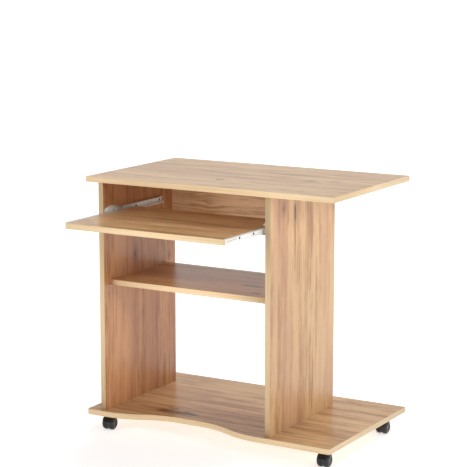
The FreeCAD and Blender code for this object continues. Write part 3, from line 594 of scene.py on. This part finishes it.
SHARP_TURN = math.radians(32)  # an edge whose faces turn by more than this is a sharp one
FLAT_TURN = math.radians(0.8)  # faces that turn by less than this are joined into one
WELD = 0.001 * MM  # points closer than this are joined into one
X_AXIS = Vector((1, 0, 0))
Z_AXIS = Vector((0, 0, 1))


def cad_copy(node):
    """A welded copy of a CAD node's mesh."""
    source = frame["nodes"][node]
    work = bmesh.new()
    work.from_mesh(source.data)
    work.transform(source.matrix_world)
    bmesh.ops.remove_doubles(work, verts=work.verts, dist=WELD)
    return work


def solids_of(node):
    """The low and high corners of each separate solid of a CAD node."""
    work = cad_copy(node)
    left = set(work.verts)
    boxes = []
    while left:
        front = [left.pop()]
        found = list(front)
        while front:
            for edge in front.pop().link_edges:
                for vert in edge.verts:
                    if vert in left:
                        left.remove(vert)
                        front.append(vert)
                        found.append(vert)
        places = [vert.co for vert in found]
        boxes.append((Vector([min(place[axis] for place in places) for axis in range(3)]),
                      Vector([max(place[axis] for place in places) for axis in range(3)])))
    work.free()
    return boxes


def add_detail(name, work, node, material, slot):
    """Turns a mesh into the piece that stands for a CAD node."""
    bmesh.ops.recalc_face_normals(work, faces=work.faces)
    mesh = bpy.data.meshes.new(name)
    work.to_mesh(mesh)
    work.free()
    mesh.polygons.foreach_set("use_smooth", [True] * len(mesh.polygons))
    mesh.set_sharp_from_angle(angle=SHARP_TURN)
    add_piece(name, mesh, material, slot, body_of(node), node)


def soften(node, radius, material, slot):
    """A copy of a CAD node with its sharp edges rounded."""
    work = cad_copy(node)
    bmesh.ops.dissolve_limit(work, angle_limit=FLAT_TURN, verts=work.verts, edges=work.edges)
    sharp = [edge for edge in work.edges
             if len(edge.link_faces) == 2 and edge.calc_face_angle(0) > SHARP_TURN]
    bmesh.ops.bevel(work, geom=sharp, offset=radius, segments=2, profile=0.5, affect="EDGES",
                    clamp_overlap=True)
    add_detail(node + "_soft", work, node, material, slot)


def hex_radius(radius, angle):
    """Distance from the middle to the side of a hexagon whose corners are at radius."""
    part = 2 * math.pi / 6
    return radius * math.cos(part / 2) / math.cos(angle % part - part / 2)


def cross_radius(radius, angle):
    """Distance from the middle to the edge of a cross whose arms reach radius."""
    half = radius * 0.22
    bent = abs(angle % (math.pi / 2) - math.pi / 4)
    return min(radius, half / math.sin(max(math.pi / 4 - bent, 0.05)))


SHAPES = {"round": lambda radius, angle: radius, "cross": cross_radius, "hex": hex_radius}


def turn(work, centre, axis, rings, steps, closed=False):
    """Turns rings of (radius, place along axis, shape) round the axis, from one end to the other.

    closed joins the last ring to the first, for a piece with a hole through it.
    """
    side = axis.orthogonal().normalized()
    other = axis.cross(side)
    circles = []
    for radius, place, shape in rings:
        middle = centre + axis * place
        if radius == 0:
            circles.append([work.verts.new(middle)])
            continue
        circle = []
        for step in range(steps):
            angle = 2 * math.pi * step / steps
            reach = SHAPES[shape](radius, angle)
            circle.append(work.verts.new(middle + side * reach * math.cos(angle)
                                         + other * reach * math.sin(angle)))
        circles.append(circle)
    pairs = list(zip(circles, circles[1:])) + ([(circles[-1], circles[0])] if closed else [])
    for first, last in pairs:
        for step in range(steps):
            after = (step + 1) % steps
            loop = [first[step % len(first)], first[after % len(first)],
                    last[after % len(last)], last[step % len(last)]]
            work.faces.new(list(dict.fromkeys(loop)))


def round_rings(profile):
    """Rings of (radius, place) in millimetres, all round."""
    return [(radius * MM, place * MM, "round") for radius, place in profile]


def middle_of(low, high):
    return (low + high) / 2


def add_roller(node):
    """A nylon roller with a crowned tread, a dish on each face and a raised hub."""
    low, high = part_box(node)
    radius, half = (high.z - low.z) / 2 / MM, (high.x - low.x) / 2 / MM
    face = [(2.3, 0), (3.7, 0), (4.0, 0.7), (radius - 2.6, 0.7), (radius - 2.2, 0), (radius - 0.5, 0),
            (radius - 0.1, 0.4), (radius, half * 0.6)]
    profile = [(2.07, 0.25)] + face + [(r, 2 * half - x) for r, x in reversed(face)]
    profile.append((2.07, 2 * half - 0.25))
    work = bmesh.new()
    rings = round_rings([(r, x - half) for r, x in profile])
    turn(work, middle_of(low, high), X_AXIS, rings, steps=40, closed=True)
    add_detail(node + "_turned", work, node, NYLON, "white_nylon")


# The wheels' sizes in millimetres, as in the CAD.
WHEEL_RADIUS = 20.0
WHEEL_WIDTH = 13.0
WHEEL_RIM = 8.5
DOME_RADIUS = 30.0
BORE_DEPTH = 10.2


def add_wheel(node, outwards):
    """One wheel of a twin caster: ribbed inside, a rounded tread, a domed face with a groove.

    The profile is (radius, place out from the inner face) in millimetres, from the bore outwards.
    """
    low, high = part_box(node)
    inner = middle_of(low, high) - outwards * WHEEL_WIDTH / 2 * MM
    dome_centre = WHEEL_RIM - math.sqrt(DOME_RADIUS ** 2 - WHEEL_RADIUS ** 2)
    profile = [(0, BORE_DEPTH), (2.06, BORE_DEPTH), (2.06, 0.3), (2.4, 0), (5.2, 0), (5.6, 0.5), (6.0, 3.0),
               (15.0, 3.0), (15.6, 0.5), (16.0, 0), (18.6, 0), (19.4, 0.2), (19.9, 0.8),
               (WHEEL_RADIUS, 1.6), (WHEEL_RADIUS, WHEEL_RIM - 1.0), (19.8, WHEEL_RIM - 0.3)]
    for radius in (19.3, 18.4, 17.2, 16.0, 14.8, 13.9):
        profile.append((radius, dome_centre + math.sqrt(DOME_RADIUS ** 2 - radius ** 2)))
    flat = WHEEL_WIDTH
    profile += [(13.0, flat), (11.2, flat), (10.8, flat - 0.5), (10.3, flat - 0.8), (9.7, flat - 0.8),
                (9.2, flat - 0.5), (8.8, flat), (3.0, flat), (2.6, flat - 0.2), (0, flat - 0.3)]
    work = bmesh.new()
    turn(work, inner, outwards, round_rings(profile), steps=64)
    add_detail(node + "_turned", work, node, WHEEL_PLASTIC, "wheel_black")


# The rail screws' sizes in millimetres.
SCREW_HEAD_RADIUS = 3.3
SCREW_HEAD_HEIGHT = 1.0
SCREW_RADIUS = 1.7
SCREW_CORE_RADIUS = 1.2
SCREW_PITCH = 0.9


def add_rail_screws(node, head_side):
    """Cross-recessed screws. head_side gives their heads' direction, so one node can hold both hands."""
    work = bmesh.new()
    for low, high in solids_of(node):
        towards = head_side(middle_of(low, high))
        length = abs((high - low).dot(towards)) / MM
        rings = round_rings([(0, -length + 0.2), (0.7, -length + 0.6), (SCREW_RADIUS, -length + 3.2)])
        turns = int((length - SCREW_HEAD_HEIGHT - 4.2) / SCREW_PITCH)
        for index in range(turns):
            place = -length + 3.4 + index * SCREW_PITCH
            rings += round_rings([(SCREW_CORE_RADIUS, place), (SCREW_RADIUS, place + SCREW_PITCH / 2)])
        rings += round_rings([(SCREW_RADIUS, -SCREW_HEAD_HEIGHT), (SCREW_HEAD_RADIUS, -SCREW_HEAD_HEIGHT),
                              (SCREW_HEAD_RADIUS, -SCREW_HEAD_HEIGHT * 0.6),
                              (SCREW_HEAD_RADIUS * 0.88, -SCREW_HEAD_HEIGHT * 0.22),
                              (SCREW_HEAD_RADIUS * 0.66, -0.03)])
        rings += [(SCREW_HEAD_RADIUS * 0.60 * MM, 0, "cross"),
                  (SCREW_HEAD_RADIUS * 0.46 * MM, -0.8 * MM, "cross"), (0, -0.9 * MM, "round")]
        tip = middle_of(low, high) + towards * length / 2 * MM
        turn(work, tip, towards, rings, steps=24)
    add_detail(node + "_turned", work, node, DARK, "dark_steel")


def add_rivets(node, head_side):
    """Roller rivets: a plain shank with a domed head, which head_side gives the direction of."""
    work = bmesh.new()
    for low, high in solids_of(node):
        towards = head_side(middle_of(low, high))
        length = (high.x - low.x) / MM
        rings = round_rings([(0, -length), (1.7, -length), (2.0, -length + 0.3), (2.0, -0.7), (3.1, -0.7),
                             (3.2, -0.5), (2.7, -0.2), (1.5, 0), (0, 0)])
        turn(work, middle_of(low, high) + towards * length / 2 * MM, towards, rings, steps=32)
    add_detail(node + "_turned", work, node, ZINC, "zinc_steel")


BASE_SCREW_PITCH = 2.2  # in millimetres, like the sizes below


def add_base_screws():
    """Long countersunk screws with a hexagon socket, heads down."""
    work = bmesh.new()
    for low, high in solids_of("base_screws"):
        length = (high.z - low.z) / MM
        rings = [(0, 2.4 * MM, "round"), (2.1 * MM, 2.4 * MM, "hex"), (2.2 * MM, 0.1 * MM, "hex")]
        rings += round_rings([(4.7, 0), (4.95, 0.15), (3.4, 3.5), (3.2, 6.0)])
        for index in range(int((length - 12) / BASE_SCREW_PITCH)):
            place = 8.0 + index * BASE_SCREW_PITCH
            rings += round_rings([(2.5, place), (3.4, place + 0.9), (3.4, place + 1.1), (2.5, place + 2.0)])
        rings += round_rings([(2.4, length - 2.0), (1.2, length), (0, length)])
        middle = middle_of(low, high)
        turn(work, Vector((middle.x, middle.y, low.z)), Z_AXIS, rings, steps=36)
    add_detail("base_screws_turned", work, "base_screws", ZINC, "zinc_steel")


TRAY_MIDDLE = middle_of(*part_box("keyboard_tray"))


def towards_tray(place):
    """The way along x from a place on a slide to the tray's middle."""
    return X_AXIS if place.x < TRAY_MIDDLE.x else -X_AXIS


def away_from_tray(place):
    return -towards_tray(place)


for side in SIDES:
    soften(f"{side}_cabinet_rail", 0.3 * MM, ENAMEL, "white_steel")
    soften(f"{side}_tray_rail", 0.3 * MM, ENAMEL, "white_steel")
    add_roller(f"{side}_front_roller")
    add_roller(f"{side}_rear_roller")
add_rivets("front_roller_rivets", towards_tray)
add_rivets("rear_roller_rivets", away_from_tray)
add_rail_screws("cabinet_rail_screws", towards_tray)
add_rail_screws("tray_rail_screws", away_from_tray)
add_base_screws()
for node, radius in (("cam_discs", 0.3), ("cam_bolts", 0.3), ("caster_kingpins", 0.25),
                     ("caster_retaining_rings", 0.15), ("caster_screws", 0.15)):
    soften(node, radius * MM, ZINC, "zinc_steel")
soften("dowels", 0.6 * MM, BEECH, "beech_dowel")
for corner in CORNERS:
    soften(f"{corner}_caster_plate", 0.4 * MM, ZINC, "zinc_steel")
    soften(f"{corner}_caster_hood", 0.6 * MM, HOOD_PLASTIC, "caster_black")
    soften(f"{corner}_caster_axle", 0.3 * MM, ZINC, "zinc_steel")
    add_wheel(f"{corner}_caster_left_wheel", -X_AXIS)
    add_wheel(f"{corner}_caster_right_wheel", X_AXIS)


# ---------------------------------------------------------------- floor, light and camera

WHITE = tone(1.0, 1.0, 1.0)
FLOOR_RADIUS = 90.0  # in metres, so that the floor reaches far past the desk
FLOOR_GLOW = 0.57
SKY_OVERHEAD = 0.18  # the sky's strength high up
SKY_HORIZON = 1.36  # what is added to it at the horizon
FOCAL_LENGTH = 130.56
SENSOR_WIDTH = 36.0
CAMERA_PLACE = (2.4106, -4.0898, 1.4337)
CAMERA_DIP = 0.1746  # below the horizon, in radians
CAMERA_TURN = 0.5309  # to the left of facing the desk's front squarely, in radians
LAMP_DISTANCE = 5.0  # a sun shines the same from anywhere


def add_floor():
    """A pale floor that glows a little, so that it stays plain and light under the desk's shadow."""
    work = bmesh.new()
    bmesh.ops.create_circle(work, cap_ends=True, segments=96, radius=FLOOR_RADIUS)
    mesh = bpy.data.meshes.new("floor")
    work.to_mesh(mesh)
    work.free()
    material = new_material("floor", roughness=0.85, base_color=tone(0.86, 0.88, 0.90),
                            emission_color=WHITE, emission_strength=FLOOR_GLOW)[0]
    floor = bpy.data.objects.new("floor", mesh)
    bpy.context.scene.collection.objects.link(floor)
    mesh.materials.append(material)


def add_sun(name, towards, strength, softness, glints=False):
    """A soft distant light. towards is the way to it from the desk, and softness its angle in degrees.

    glints lets it show in reflections. A low light that does so bleaches the boards from behind.
    """
    light = bpy.data.lights.new(name, "SUN")
    light.energy = strength
    light.angle = math.radians(softness)
    lamp = bpy.data.objects.new(name, light)
    lamp.rotation_euler = Vector(towards).to_track_quat("Z", "Y").to_euler()
    lamp.location = Vector(towards).normalized() * LAMP_DISTANCE
    lamp.visible_glossy = glints
    bpy.context.scene.collection.objects.link(lamp)


def add_camera():
    """The viewpoint: right of the desk's middle, above its top, far off with a long lens."""
    lens = bpy.data.cameras.new("camera")
    lens.lens = FOCAL_LENGTH
    lens.sensor_width = SENSOR_WIDTH
    camera = bpy.data.objects.new("camera", lens)
    camera.location = CAMERA_PLACE
    camera.rotation_euler = (math.radians(90) - CAMERA_DIP, 0.0, CAMERA_TURN)
    bpy.context.scene.collection.objects.link(camera)
    bpy.context.scene.camera = camera


def add_world():
    """A soft studio sky: bright round the horizon and dimmer overhead."""
    world = bpy.data.worlds.new("studio")
    world.use_nodes = True
    graph = Graph(world.node_tree)
    direction = graph.node("SeparateXYZ", {0: graph.node("TexCoord").outputs["Generated"]}).outputs["Z"]
    glow = graph.levels(direction, 0.0, 0.45, 1.0, 0.0)
    strength = graph.add(graph.times(glow, SKY_HORIZON), SKY_OVERHEAD)
    background = world.node_tree.nodes["Background"]
    background.inputs["Color"].default_value = WHITE
    graph.wire(background.inputs["Strength"], strength)
    bpy.context.scene.world = world


add_floor()
add_world()
add_sun("key", (-0.40, -0.88, 0.24), 1.00, 30)
add_sun("side", (0.80, -0.25, 0.36), 0.74, 14)
add_sun("top", (0.12, 0.40, 0.90), 1.35, 40, glints=True)
add_camera()
bpy.context.scene.view_settings.view_transform = "Standard"
